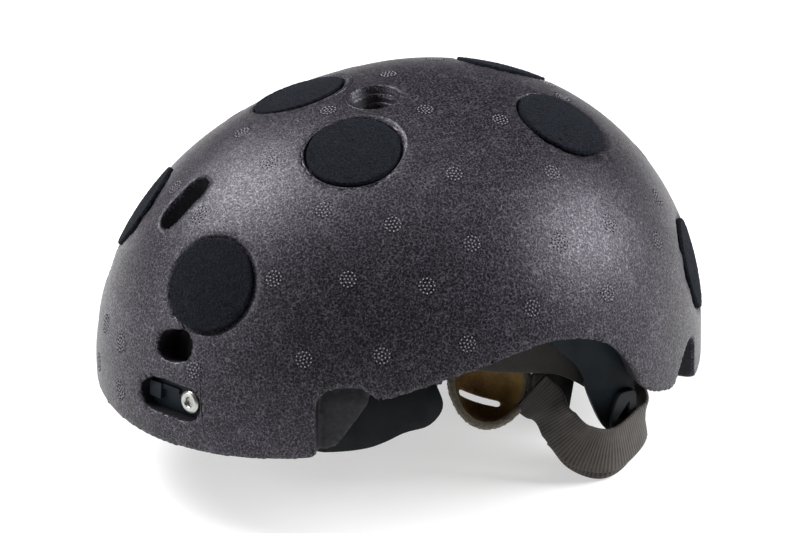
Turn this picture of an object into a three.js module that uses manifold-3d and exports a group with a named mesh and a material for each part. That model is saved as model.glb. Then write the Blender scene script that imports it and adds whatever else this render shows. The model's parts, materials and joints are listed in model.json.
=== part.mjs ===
// Water helmet: a bead-foam dome with hook discs outside and a strap harness inside.
// Millimetres. +Z is up, the brow faces -Y and the wearer's left is +X.
// The origin is the middle of the head opening, level with the front rim.

import * as THREE from 'three';
import { mergeVertices } from 'three/addons/utils/BufferGeometryUtils.js';
import Module from 'manifold-3d';

const wasm = await Module();
wasm.setup();

// ---- driving dimensions -------------------------------------------------------------------

const DOME = {
  frontReach: 142.5,   // apex axis to the brow
  rearReach: 114.6,    // apex axis to the back
  halfWidth: 110,
  apexBack: 14.5,      // the apex axis sits this far behind the origin
  rise: 110.3,         // from the end of the upright wall to the crown
  wallTop: 5,          // the wall is upright below this height
  frontPower: 0.81,    // fullness of the profile: smaller is squarer
  rearPower: 0.89,
  sidePower: 0.858,
};
const RIM_FOAM = 11;         // foam thickness at the rim
const CROWN_GROWTH = 1.45;   // the foam is this much thicker at the crown
const REAR_RIM = -7;         // the rear tongue reaches below the front rim
const GAP = 0.3;             // clearance between touching pieces
const LINER = RIM_FOAM + 1;  // inset of whatever is fixed to the inside of the foam

const DISC = { radius: 19.2, thick: 2.4, sink: 1.8, bend: 122, flat: 5 };
const DISC_SITES = [
  { name: 'front', u: 25.3, v: 34 },
  { name: 'crown_front', u: 42, v: 69.6 },
  { name: 'crown_rear', u: 145.9, v: 62.9 },
  { name: 'rear', u: 154.8, v: 15.6 },
];

const SLOT_VENT = { u: 0, v: 46, length: 27, width: 12 };
const ROUND_VENT = { u: 0, v: 84.1, radii: [11, 9.6, 8.2], step: 3.4 };
const OVAL_VENT = { u: 22, v: 19.6, length: 18, width: 13, tilt: 14 };
const POCKET = { u: 22.3, v: 7.9, depth: 7.5, corner: 4 };
const POCKET_OUTLINE = [[-12, -7.6], [13, -7], [17.3, 0], [14.5, 7.6], [-8, 7.6], [-17, 1.5]];
const RIVET = { across: 10.6, up: 1.6, radius: 4.7, hole: 1.9 };

const NOTCH = { heading: 60, floorInset: 6.5 };
const NOTCH_OUTLINE = [[-17.8, -30], [-17.6, 34], [-2, 36.2], [2.6, 34.5], [7, 29.6], [14, 28], [14, -30]];
const WING_OPENING = [[-20, -30], [-16, 0], [4.5, 29.3], [14, 29.3], [14, -30]];
const EAR_ARCH = [[-48, 29.8], [-15, 37.9], [22, 44.4], [46.3, 38.7], [59.1, 26.1], [64.6, 14]];
const LOBE_EDGE = [[69.5, 9], [77.2, 4.6], [86.7, 1], [93, -0.5]];
const FRONT_RIM = [[-150, 0], [-120, 0.4], [-96, 2.8], [-66, 6.8], [-48, 7.6]];
const SLIT = { u: 137.5, heading: 136 };
const SLIT_OUTLINE = [[-17, -40], [-16, 1], [-10, 8], [-4, 13.5], [3, 15], [8, 12.5], [8, -40]];

const WEB = { width: 20, thick: 1.8 };
const FACETS = { around: 64, up: 15 };

// ---- materials -----------------------------------------------------------------------------

const finish = (color, roughness, metalness = 0) =>
  new THREE.MeshStandardMaterial({ color, roughness, metalness });
const FOAM = finish(0x4b484e, 0.55);
const HOOK = finish(0x1c2026, 0.95);
const BLACK = finish(0x15191b, 0.4);
const GREY = finish(0x4a5052, 0.45);
const STEEL = finish(0xc8c8c3, 0.35, 0.7);
const WEBBING = finish(0x4b4642, 0.85);
const LEATHER = finish(0x6e4b1e, 0.7);
const FLEECE = finish(0x7d7a63, 0.95);
const PAD = finish(0x26282b, 0.9);

// ---- small helpers -------------------------------------------------------------------------

const model = new THREE.Group();
const rad = THREE.MathUtils.degToRad;
const vec = (x, y, z) => new THREE.Vector3(x, y, z);

function add(name, geometry, material) {
  const mesh = new THREE.Mesh(geometry, material);
  mesh.name = name;
  model.add(mesh);
  return mesh;
}

// A solid skinned over a row of rings, each with the same number of points.
function loft(rings, closed = false) {
  const count = rings[0].length;
  const points = rings.flat();
  const faces = [];
  const bands = closed ? rings.length : rings.length - 1;
  for (let i = 0; i < bands; i++) {
    const a = i * count;
    const b = ((i + 1) % rings.length) * count;
    for (let j = 0; j < count; j++) {
      const k = (j + 1) % count;
      faces.push([a + j, a + k, b + k], [a + j, b + k, b + j]);
    }
  }
  if (!closed) {
    const last = (rings.length - 1) * count;
    const ends = [rings[0], rings[rings.length - 1]].map((ring) =>
      points.push(ring.reduce((sum, p) => sum.add(p), vec(0, 0, 0)).divideScalar(count)) - 1);
    for (let j = 0; j < count; j++) {
      const k = (j + 1) % count;
      faces.push([ends[0], k, j], [ends[1], last + j, last + k]);
    }
  }
  const geometry = new THREE.BufferGeometry().setFromPoints(points);
  geometry.setIndex(faces.flat());
  return outward(weld(geometry));
}

function weld(geometry) {
  const plain = geometry.clone();
  plain.deleteAttribute('normal');
  plain.deleteAttribute('uv');
  const merged = mergeVertices(plain, 1e-3);
  const index = merged.index.array;
  const kept = [];
  for (let i = 0; i < index.length; i += 3) {
    const [a, b, c] = index.slice(i, i + 3);
    if (a !== b && b !== c && c !== a) kept.push(a, b, c);
  }
  merged.setIndex(kept);
  return merged;
}

// Turns a closed mesh's faces outward, judged by the sign of its volume.
function outward(geometry) {
  const at = geometry.attributes.position;
  const index = Array.from(geometry.index.array);
  let volume = 0;
  for (let i = 0; i < index.length; i += 3) {
    const [a, b, c] = [0, 1, 2].map((k) => vec().fromBufferAttribute(at, index[i + k]));
    volume += a.dot(b.cross(c));
  }
  if (volume < 0) index.reverse();
  geometry.setIndex(index);
  return geometry;
}

function solid(geometry) {
  const whole = outward(weld(geometry));
  return new wasm.Manifold(new wasm.Mesh({
    numProp: 3,
    vertProperties: new Float32Array(whole.attributes.position.array),
    triVerts: new Uint32Array(whole.index.array),
  }));
}

function geometryOf(manifold) {
  const mesh = manifold.getMesh();
  const geometry = new THREE.BufferGeometry();
  geometry.setAttribute('position', new THREE.BufferAttribute(mesh.vertProperties, 3));
  geometry.setIndex(new THREE.BufferAttribute(mesh.triVerts, 1));
  return geometry;
}

const join = (...parts) => geometryOf(parts.map(solid).reduce((a, b) => a.add(b)));
const cut = (body, ...tools) =>
  geometryOf(tools.reduce((left, tool) => left.subtract(solid(tool)), solid(body)));
const common = (a, b) => geometryOf(solid(a).intersect(solid(b)));

function prism(shape, depth, start = 0, curveSegments = 8) {
  const geometry = new THREE.ExtrudeGeometry(shape, { depth, bevelEnabled: false, curveSegments });
  return geometry.translate(0, 0, start);
}

const polygon = (points) => new THREE.Shape(points.map(([x, y]) => new THREE.Vector2(x, y)));

// A polygon whose corners are rounded by quadratic curves.
function rounded(points, radius) {
  const shape = new THREE.Shape();
  const corners = points.map(([x, y]) => new THREE.Vector2(x, y));
  corners.forEach((corner, i) => {
    const before = corners[(i + corners.length - 1) % corners.length];
    const after = corners[(i + 1) % corners.length];
    const toward = (other) => {
      const reach = Math.min(radius, corner.distanceTo(other) * 0.45);
      return corner.clone().add(other.clone().sub(corner).setLength(reach));
    };
    const [start, end] = [toward(before), toward(after)];
    if (i === 0) shape.moveTo(start.x, start.y);
    else shape.lineTo(start.x, start.y);
    shape.quadraticCurveTo(corner.x, corner.y, end.x, end.y);
  });
  shape.closePath();
  return shape;
}

const rectangle = (w, h) => [[-w / 2, -h / 2], [w / 2, -h / 2], [w / 2, h / 2], [-w / 2, h / 2]];

function circle(radius) {
  return new THREE.Shape().absarc(0, 0, radius, 0, 2 * Math.PI);
}

function box(sizeX, sizeY, sizeZ, x = 0, y = 0, z = 0) {
  return new THREE.BoxGeometry(sizeX, sizeY, sizeZ).translate(x, y, z);
}

function mirrored(geometry) {
  const other = geometry.clone();
  other.deleteAttribute('normal');
  return outward(weld(other.scale(-1, 1, 1)));
}

// The same piece on the left and, mirrored, on the right.
function pair(name, geometry, material) {
  add(`${name}_left`, geometry, material);
  add(`${name}_right`, mirrored(geometry), material);
}

// ---- the dome surface ------------------------------------------------------------------------

// u runs round from the brow (0) past the wearer's left ear (90) to the back (180), in degrees.
// z is the height, and inset is the depth below the outer surface.
function wallPoint(u, z, inset = 0) {
  const [sin, cos] = [Math.sin(rad(u)), Math.cos(rad(u))];
  const reach = (cos > 0 ? DOME.frontReach : DOME.rearReach) - inset;
  const power = (cos > 0 ? DOME.frontPower : DOME.rearPower) * cos ** 2 + DOME.sidePower * sin ** 2;
  const rise = DOME.rise - inset * CROWN_GROWTH;
  const lift = THREE.MathUtils.clamp((z - DOME.wallTop) / rise, 0, 1);
  const narrow = Math.cos(Math.asin(lift)) ** power;
  return vec((DOME.halfWidth - inset) * narrow * sin, DOME.apexBack - reach * narrow * cos, z);
}

function domePoint(u, v, inset = 0) {
  const rise = DOME.rise - inset * CROWN_GROWTH;
  return wallPoint(u, DOME.wallTop + rise * Math.sin(rad(v)), inset);
}

function domeSolid(inset, around = FACETS.around, up = FACETS.up) {
  const ringAt = (point) => Array.from({ length: around }, (_, j) => point((j * 360) / around));
  const rings = [ringAt((u) => wallPoint(u, -30, inset))];
  for (let i = 0; i < up; i++) rings.push(ringAt((u) => domePoint(u, (89 * i) / up, inset)));
  rings.push(ringAt((u) => domePoint(u, 88.6, inset)));
  return loft(rings);
}

// A frame on the surface: X runs round towards the left ear, Y up the meridian, Z out of the foam.
function surfaceFrame(u, v, inset = 0) {
  const step = 0.05;
  const origin = domePoint(u, v, inset);
  const east = domePoint(u + step, v, inset).sub(domePoint(u - step, v, inset)).normalize();
  const north = domePoint(u, v + step, inset).sub(domePoint(u, v - step, inset)).normalize();
  const normal = east.clone().cross(north).normalize();
  return new THREE.Matrix4().makeBasis(east, normal.clone().cross(east), normal).setPosition(origin);
}

// A frame whose Z points level in the given heading: 0 is forward and 90 is to the wearer's left.
function headingFrame(heading) {
  const out = vec(Math.sin(rad(heading)), -Math.cos(rad(heading)), 0);
  const across = vec(Math.cos(rad(heading)), Math.sin(rad(heading)), 0);
  return new THREE.Matrix4().makeBasis(across, vec(0, 0, 1), out);
}

// A profile drawn in (y, z) and extruded along +X.
const SIDEWAYS = new THREE.Matrix4().makeBasis(vec(0, 1, 0), vec(0, 0, 1), vec(1, 0, 0));

const placed = (geometry, frame) => geometry.clone().applyMatrix4(frame);

// A curved plate that follows the wall between two insets, from one angle to another.
function wallPlate({ from, to, low, high, outer, inner, columns = 10, rows = 3 }) {
  const rings = [];
  for (let i = 0; i <= columns; i++) {
    const u = from + ((to - from) * i) / columns;
    const heights = Array.from({ length: rows + 1 }, (_, j) => low(u) + ((high(u) - low(u)) * j) / rows);
    rings.push([
      ...heights.map((z) => wallPoint(u, z, outer)),
      ...heights.reverse().map((z) => wallPoint(u, z, inner)),
    ]);
  }
  return loft(rings);
}

// ---- foam shell ------------------------------------------------------------------------------

// The side opening: the ear arch and the underside of the side lobe, as one outline in (y, z).
function sideOpening() {
  const arch = new THREE.SplineCurve(EAR_ARCH.map(([y, z]) => new THREE.Vector2(y, z)));
  const lobe = new THREE.SplineCurve([EAR_ARCH.at(-1), ...LOBE_EDGE].map(([y, z]) => new THREE.Vector2(y, z)));
  const points = [...arch.getPoints(18), ...lobe.getPoints(8).slice(1)];
  return placed(prism(new THREE.Shape([new THREE.Vector2(-48, -40), ...points, new THREE.Vector2(93, -40)]),
    300, -150), SIDEWAYS);
}

// The front rim rises a little towards the temples.
function frontFloor() {
  const rim = FRONT_RIM.map(([y, z]) => new THREE.Vector2(y, z));
  const ends = [new THREE.Vector2(-48, -40), new THREE.Vector2(-150, -40)];
  return placed(prism(new THREE.Shape([...rim, ...ends]), 300, -150), SIDEWAYS);
}

function notchTools() {
  const frame = headingFrame(NOTCH.heading);
  const whole = placed(prism(rounded(NOTCH_OUTLINE, 8), 120, 50), frame);
  const through = placed(prism(polygon(WING_OPENING), 120, 50), frame);
  return [cut(whole, domeSolid(NOTCH.floorInset, 40, 7)), common(whole, through)];
}

function slitTool() {
  const middle = wallPoint(SLIT.u, 0);
  const tool = placed(prism(rounded(SLIT_OUTLINE, 3.5), 80, -40, 4), headingFrame(SLIT.heading));
  return tool.translate(middle.x, middle.y, 0);
}

function ventTools() {
  const slot = rounded(rectangle(SLOT_VENT.width, SLOT_VENT.length), SLOT_VENT.width * 0.6);
  const oval = rounded(rectangle(OVAL_VENT.length, OVAL_VENT.width), OVAL_VENT.width * 0.62);
  const ovalTool = placed(prism(oval, 50, -35).rotateZ(rad(OVAL_VENT.tilt)), surfaceFrame(OVAL_VENT.u, OVAL_VENT.v));
  const rounds = ROUND_VENT.radii.map((radius, i) => {
    const floor = i === ROUND_VENT.radii.length - 1 ? -40 : -ROUND_VENT.step * (i + 1);
    return placed(prism(circle(radius), 12 - floor, floor, 10), surfaceFrame(ROUND_VENT.u, ROUND_VENT.v));
  });
  return [
    placed(prism(slot, 60, -40), surfaceFrame(SLOT_VENT.u, SLOT_VENT.v)),
    ovalTool,
    mirrored(ovalTool),
    ...rounds,
  ];
}

// A shallow cap that follows the dome, standing on the local frame's Z axis.
function cap(radius, low, high, segments) {
  const drop = (r) => DISC.bend - Math.sqrt(DISC.bend ** 2 - r ** 2);
  const profile = [[0, low], [DISC.flat, low], [radius, low - drop(radius)],
    [radius, high - drop(radius)], [DISC.flat, high], [0, high]];
  return new THREE.LatheGeometry(profile.map(([r, h]) => new THREE.Vector2(r, h)), segments).rotateX(Math.PI / 2);
}

function makeDiscs() {
  for (const { name, u, v } of DISC_SITES) {
    const disc = outward(weld(cap(DISC.radius, -DISC.sink, DISC.thick - DISC.sink, 28)));
    pair(`hook_disc_${name}`, placed(disc, surfaceFrame(u, v)), HOOK);
  }
}

function discRecesses() {
  return DISC_SITES.flatMap(({ u, v }) => {
    const recess = placed(weld(cap(DISC.radius + 1, -DISC.sink - GAP, 8, 24)), surfaceFrame(u, v));
    return [recess, mirrored(recess)];
  });
}

function pocketTool() {
  return placed(prism(rounded(POCKET_OUTLINE, POCKET.corner), 40, -POCKET.depth), surfaceFrame(POCKET.u, POCKET.v));
}

function makeShell() {
  const sideFloor = box(400, 150, 60, 0, 18, -30);
  const rearFloor = box(400, 400, 60, 0, 200, REAR_RIM - 30);
  const side = [...notchTools(), slitTool(), pocketTool()];
  const foam = cut(domeSolid(0), domeSolid(RIM_FOAM, 44, 9), frontFloor(), sideFloor, rearFloor, sideOpening(),
    ...side, ...side.map(mirrored), ...ventTools(), ...discRecesses());
  add('foam_shell', foam, FOAM);
}

// ---- brow pocket fittings ----------------------------------------------------------------------

function makePocketFittings() {
  const frame = surfaceFrame(POCKET.u, POCKET.v);
  const floor = -POCKET.depth + GAP;
  const small = POCKET_OUTLINE.map(([x, y]) => [x * 0.93, y * 0.88]);
  const seat = prism(circle(RIVET.radius + 0.2), 3.2, floor, 7).translate(RIVET.across, RIVET.up, 0);
  const lug = box(6, 6.5, 3.4, -9.5, 0.4, floor + 1.7);
  const bar = box(9, 2.2, 2.6, -2, 2.5, floor + 1.3);
  const plate = join(prism(rounded(small, 3), 1.4, floor, 4), seat, lug, bar);
  pair('anchor_plate', placed(plate, frame), BLACK);

  const low = floor + 3.2 + GAP;
  const profile = [[0, low], [RIVET.radius, low], [RIVET.radius, low + 1.8], [RIVET.radius - 1.1, low + 2.6],
    [RIVET.hole + 0.5, low + 2.6], [RIVET.hole, low + 2.1], [RIVET.hole, low + 1], [0, low + 1]];
  const rivet = new THREE.LatheGeometry(profile.map(([r, h]) => new THREE.Vector2(r, h)), 24);
  rivet.rotateX(Math.PI / 2).translate(RIVET.across, RIVET.up, 0);
  pair('anchor_rivet', placed(outward(weld(rivet)), frame), STEEL);
}

// ---- front harness -------------------------------------------------------------------------------

const WING = { outer: LINER, thick: 3 };
const WING_OUTLINE = [[-68, 2.2], [-56, 3.2], [-47, 4.8], [-40, 8], [-34, 11.2], [-25, 12.4],
  [-19.6, 17.8], [-18.3, 22.5], [-22, 34], [-25, 41], [-56, 41], [-68, 30]];

function makeTempleWings() {
  const sheet = wallPlate({ from: 42, to: 88, low: () => 0.5, high: () => 46,
    outer: WING.outer, inner: WING.outer + WING.thick, columns: 14, rows: 6 });
  const outline = prism(rounded(WING_OUTLINE, 4), 90, 40, 3);
  pair('temple_wing', common(sheet, placed(outline, SIDEWAYS)), BLACK);
}

// ---- webbing ---------------------------------------------------------------------------------------

// A flat strap along a smooth curve; its width stays as upright as the route lets it.
function ribbon(points, { steps = 24, width = WEB.width, thick = WEB.thick, upright = vec(0, 0, 1) } = {}) {
  const curve = new THREE.CatmullRomCurve3(points.map((p) => vec(...p)), false, 'centripetal');
  const rings = [];
  for (let i = 0; i <= steps; i++) {
    const at = curve.getPointAt(i / steps);
    const along = curve.getTangentAt(i / steps);
    const across = upright.clone().addScaledVector(along, -upright.dot(along)).setLength(width / 2);
    const out = along.clone().cross(across).setLength(thick / 2);
    rings.push([[1, 1], [-1, 1], [-1, -1], [1, -1]].map(([a, b]) =>
      at.clone().addScaledVector(across, a).addScaledVector(out, b)));
  }
  return loft(rings);
}

// From the temple anchor back inside the ear, round behind the cradle arm, and forward outside it.
const SIDE_STRAP = [[68, -38, 48], [73.2, -20, 42.5], [75.5, -4, 36.5], [74.5, 14, 30], [71, 33, 23.5],
  [70, 46, 19], [68.5, 60, 9], [67, 69.5, -1], [69, 75.5, -9], [76.5, 77.2, -14], [83, 68.5, -18.5],
  [86.5, 57, -20.5], [83.5, 45, -16.5], [78, 38.5, -8.5], [73.4, 35.2, -1.8]];
// From the front of the chin cup, round inside the brow, to the buckle on the right.
const CHIN_STRAP = [[52.2, -8.4, 13.6], [52.5, -26, 15], [46, -50, 19], [26, -68, 21], [0, -74, 21.5],
  [-26, -68, 21], [-46, -50, 19], [-56, -41, 16.6], [-59.5, -30.2, 13]];

function makeStraps() {
  pair('side_strap', ribbon(SIDE_STRAP, { steps: 40 }), WEBBING);
  add('chin_strap', ribbon(CHIN_STRAP, { steps: 30 }), WEBBING);
  pair('strap_anchor', wallPlate({ from: 60, to: 70, low: () => 43.5, high: () => 61, outer: LINER,
    inner: LINER + 2.2, columns: 3, rows: 1 }), BLACK);
}

// ---- rear cradle -----------------------------------------------------------------------------------

const ARM = { inside: 73.5, thick: 3 };
const ARM_OUTLINE = [[31, 45], [35, 29.5], [48.8, 14], [53.2, -1], [57.5, -12], [61.5, -18.5],
  [72, -19.5], [74.5, -8], [72.5, 4], [66, 20], [60, 47], [50, 52], [40, 52]];
const PIVOT = { y: 47, z: 43 };

const sideways = (geometry, x) => geometry.applyMatrix4(SIDEWAYS).translate(x, 0, 0);

function makeCradle() {
  const outline = rounded(ARM_OUTLINE, 6);
  outline.holes.push(new THREE.Path().absarc(PIVOT.y, PIVOT.z, 3.4, 0, 2 * Math.PI, true));
  pair('cradle_arm', sideways(prism(outline, ARM.thick, 0, 5), ARM.inside), BLACK);

  const guide = rounded([[61.5, -18.5], [70, -19], [73, -8], [72.5, 1], [65, 0.5], [61.5, -9]], 2.5);
  guide.holes.push(new THREE.Path([[64, -11.5], [69.5, -4], [69.5, -13]].map(([y, z]) => new THREE.Vector2(y, z))));
  pair('strap_guide', sideways(prism(guide, 2.6, 0, 3), ARM.inside + ARM.thick + GAP), GREY);

  const flange = 80.5;
  const pinEnd = ARM.inside + ARM.thick + 0.6;
  const pin = [[0, ARM.inside - 1.6], [5, ARM.inside - 1.6], [5, ARM.inside - 0.4], [3, ARM.inside - 0.4],
    [3, pinEnd], [6, pinEnd], [6, flange], [0, flange]];
  const lathe = new THREE.LatheGeometry(pin.map(([r, h]) => new THREE.Vector2(r, h)), 20);
  lathe.rotateZ(-Math.PI / 2).translate(0, PIVOT.y, PIVOT.z);
  pair('cradle_pivot', outward(weld(lathe)), STEEL);

  const band = [[71.3, 66.5, 24.5], [62, 83.5, 23.5], [44, 96.5, 22], [23, 103, 20.5], [0, 105, 20]];
  const whole = [...band, ...band.slice(0, -1).reverse().map(([x, y, z]) => [-x, y, z])];
  add('nape_band', ribbon(whole, { steps: 30, width: 15, thick: 2.6 }), BLACK);
  const pad = [[39, 93.8, 19], [22, 98.4, 19], [0, 100.6, 19], [-22, 98.4, 19], [-39, 93.8, 19]];
  add('nape_pad', ribbon(pad, { steps: 12, width: 24, thick: 5 }), PAD);
}

const DIVIDER = { along: 60, long: 15, tall: 26, thick: 4.6 };

// A strap divider: a black frame with an upright slot, in line with the short strap.
function makeDividers() {
  const outline = rounded(rectangle(DIVIDER.thick, DIVIDER.tall), 0.8);
  outline.holes.push(new THREE.Path(
    [[-1.3, -10.6], [-1.3, 10.6], [1.3, 10.6], [1.3, -10.6]].map(([x, z]) => new THREE.Vector2(x, z))));
  const body = prism(outline, DIVIDER.long, -DIVIDER.long / 2, 2).rotateX(Math.PI / 2);
  const right = outward(weld(placed(body.translate(0, DIVIDER.along, 0), buckleFrame())));
  add('strap_divider_right', right, BLACK);
  add('strap_divider_left', mirrored(right), BLACK);
}

// ---- chin cup --------------------------------------------------------------------------------------

const CUP = { halfLong: 16, halfTall: 16.6, taper: 0.16, depth: 9, thick: 2.2 };
const CUP_FRAME = new THREE.Matrix4().makeBasis(
  vec(0.3, 0.87, -0.33).normalize(),
  vec(-0.52, 0.455, 0.73).normalize(),
  vec(0.79, -0.057, 0.57).normalize(),
).setPosition(60, 14.5, 5.6);

// The cup's outline at one angle, grown sideways; it is wider at the top than at the bottom.
function cupPoint(a, scale, height, grow = 0) {
  const taper = 1 + CUP.taper * Math.sin(a);
  return vec((scale * CUP.halfLong + grow) * taper * Math.cos(a), (scale * CUP.halfTall + grow) * Math.sin(a), height);
}

const cupRing = (scale, height, count = 28) =>
  Array.from({ length: count }, (_, j) => cupPoint((2 * Math.PI * j) / count, scale, height));

// A bowl between two depths; the rim lies in the frame's XY plane and the hollow faces +Z.
function bowl(nearDepth, farDepth, rim) {
  const scales = [0.12, 0.4, 0.65, 0.85];
  const height = (s, depth) => -depth * (1 - s ** 2.4);
  return loft([
    ...scales.map((s) => cupRing(s, height(s, farDepth) - rim)),
    cupRing(1, -rim), cupRing(1, 0), cupRing(0.95, 0),
    ...scales.map((s) => cupRing(s * 0.95, height(s, nearDepth))).reverse(),
  ]);
}

function makeCup() {
  const slot = prism(rounded(rectangle(18.5, 2.8), 1.3), 40, -30, 3).rotateZ(rad(-2)).translate(-0.5, -4, 0);
  const shell = cut(bowl(CUP.depth, CUP.depth + 0.4, CUP.thick), slot);
  add('chin_cup', placed(shell, CUP_FRAME), LEATHER);

  const count = 28;
  const rings = Array.from({ length: count }, (_, j) => {
    const a = (2 * Math.PI * j) / count;
    const centre = cupPoint(a, 1, 2.1, 0.2);
    const out = vec(Math.cos(a), Math.sin(a), 0);
    return Array.from({ length: 8 }, (_, k) => {
      const b = (2 * Math.PI * k) / 8;
      return centre.clone().addScaledVector(out, 1.7 * Math.cos(b)).add(vec(0, 0, 1.7 * Math.sin(b)));
    });
  });
  add('cup_binding', placed(loft(rings, true), CUP_FRAME), FLEECE);

  const tab = prism(rounded(rectangle(4.6, 9.4), 1.6), 1.8, -0.9, 2);
  add('cup_tab_rear', placed(tab.clone().translate(20.7, 0.3, 0), CUP_FRAME), WEBBING);
  add('cup_tab_front', placed(tab.clone().translate(-20.8, 0, 0), CUP_FRAME), FLEECE);
}

// ---- side-release buckle, on the wearer's right -------------------------------------------------------

const BUCKLE = { wide: 26, tall: 8, wall: 1.6, at: [-60, -15, 10.2] };
const PULL = vec(-0.02, 0.985, -0.17).normalize();

// Local Y is the pull direction, local Z the buckle's width and local X its thickness.
function buckleFrame() {
  const wide = vec(0, 0, 1).addScaledVector(PULL, -PULL.z).normalize();
  return new THREE.Matrix4().makeBasis(PULL.clone().cross(wide), PULL, wide).setPosition(...BUCKLE.at);
}

function makeBuckle() {
  const frame = buckleFrame();
  const half = BUCKLE.tall / 2 - BUCKLE.wall / 2;
  const female = join(
    box(BUCKLE.wall, 25, BUCKLE.wide, half, 12.5, 0),
    box(BUCKLE.wall, 25, BUCKLE.wide, -half, 12.5, 0),
    box(BUCKLE.tall, 4, BUCKLE.wide, 0, 23, 0),
    box(4, 8, 2.6, 0, 28, BUCKLE.wide / 2 - 1.3),
    box(4, 8, 2.6, 0, 28, -BUCKLE.wide / 2 + 1.3),
    box(4, 2.4, BUCKLE.wide, 0, 31.4, 0),
  );
  add('buckle_female', placed(female, frame), BLACK);

  const male = join(
    box(BUCKLE.tall - 1, 5, BUCKLE.wide, 0, -3, 0),
    box(4, 8, 2.6, 0, -9, BUCKLE.wide / 2 - 1.3),
    box(4, 8, 2.6, 0, -9, -BUCKLE.wide / 2 + 1.3),
    box(4, 2.4, BUCKLE.wide, 0, -12.2, 0),
    box(3.4, 18, 5, 0, 8, 0),
  );
  add('buckle_male', placed(male, frame), BLACK);

  const outline = [[0.2, 7.8], [0.2, 11.4], [9, 10.8], [13.5, 12.6], [17.5, 10.6], [17.5, 8.4], [9, 8]];
  for (const [name, side] of [['upper', 1], ['lower', -1]]) {
    const shape = rounded(outline.map(([y, z]) => [y, z * side]), 0.8);
    const prong = outward(weld(placed(prism(shape, 3.6, -1.8, 2), SIDEWAYS)));
    add(`buckle_prong_${name}`, placed(prong, frame), BLACK);
  }

  const start = vec(...BUCKLE.at).addScaledVector(PULL, 33);
  const end = vec(...BUCKLE.at).addScaledVector(PULL, 72);
  add('short_strap', ribbon([start.toArray(), end.toArray()], { steps: 2 }), WEBBING);
}

// ---- comfort pads ----------------------------------------------------------------------------------------

function makePads() {
  const shared = { outer: LINER, inner: LINER + 7.5, rows: 4 };
  add('pad_front', wallPlate({ ...shared, from: -36, to: 36, low: () => 8, high: () => 56, columns: 12 }), PAD);
  add('pad_rear', wallPlate({ ...shared, from: 155, to: 205, low: () => 36, high: () => 66, columns: 10 }), PAD);
  pair('pad_side', wallPlate({ ...shared, from: 80, to: 118, low: () => 56, high: () => 78, columns: 7 }), PAD);
  const crown = new THREE.LatheGeometry([[0, 91.2], [24, 88.2], [33, 84.2], [34.5, 78.4], [24, 81.6], [0, 84]]
    .map(([r, z]) => new THREE.Vector2(r, z)), 28);
  crown.rotateX(Math.PI / 2).translate(0, 22, 0);
  add('pad_crown', outward(weld(crown)), PAD);
}

makeShell();
makeDiscs();
makePocketFittings();
makeTempleWings();
makeStraps();
makeCradle();
makeDividers();
makeCup();
makeBuckle();
makePads();

export default model;
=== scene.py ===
"""Water helmet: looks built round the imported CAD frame. Metres; brow -Y, crown +Z, wearer's left +X."""
import json
import math

import bmesh
import bpy
import numpy as np
from mathutils import Matrix, Vector, noise


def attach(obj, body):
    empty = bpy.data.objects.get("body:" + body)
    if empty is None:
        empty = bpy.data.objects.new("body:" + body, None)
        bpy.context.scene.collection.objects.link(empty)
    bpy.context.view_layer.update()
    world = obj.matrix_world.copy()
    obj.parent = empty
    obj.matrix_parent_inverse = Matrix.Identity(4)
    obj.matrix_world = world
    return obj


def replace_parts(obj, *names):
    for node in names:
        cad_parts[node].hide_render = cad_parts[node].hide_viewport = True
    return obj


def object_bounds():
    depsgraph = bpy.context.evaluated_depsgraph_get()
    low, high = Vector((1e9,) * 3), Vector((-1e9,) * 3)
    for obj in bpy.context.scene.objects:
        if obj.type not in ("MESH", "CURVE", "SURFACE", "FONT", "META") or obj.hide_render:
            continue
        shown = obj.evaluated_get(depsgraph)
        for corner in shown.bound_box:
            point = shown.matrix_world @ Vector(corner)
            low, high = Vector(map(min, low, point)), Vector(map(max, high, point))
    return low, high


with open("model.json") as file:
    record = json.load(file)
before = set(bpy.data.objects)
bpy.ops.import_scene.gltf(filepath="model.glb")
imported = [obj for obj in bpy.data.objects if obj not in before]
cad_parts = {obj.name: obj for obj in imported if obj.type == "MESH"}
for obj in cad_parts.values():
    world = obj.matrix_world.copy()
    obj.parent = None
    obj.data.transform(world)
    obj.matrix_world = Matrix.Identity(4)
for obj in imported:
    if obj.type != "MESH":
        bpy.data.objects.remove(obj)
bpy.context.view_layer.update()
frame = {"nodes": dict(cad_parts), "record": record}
NODES = frame["nodes"]
MM = 0.001
RNG = np.random.default_rng(7)


# ---- materials ---------------------------------------------------------------------------------


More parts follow.
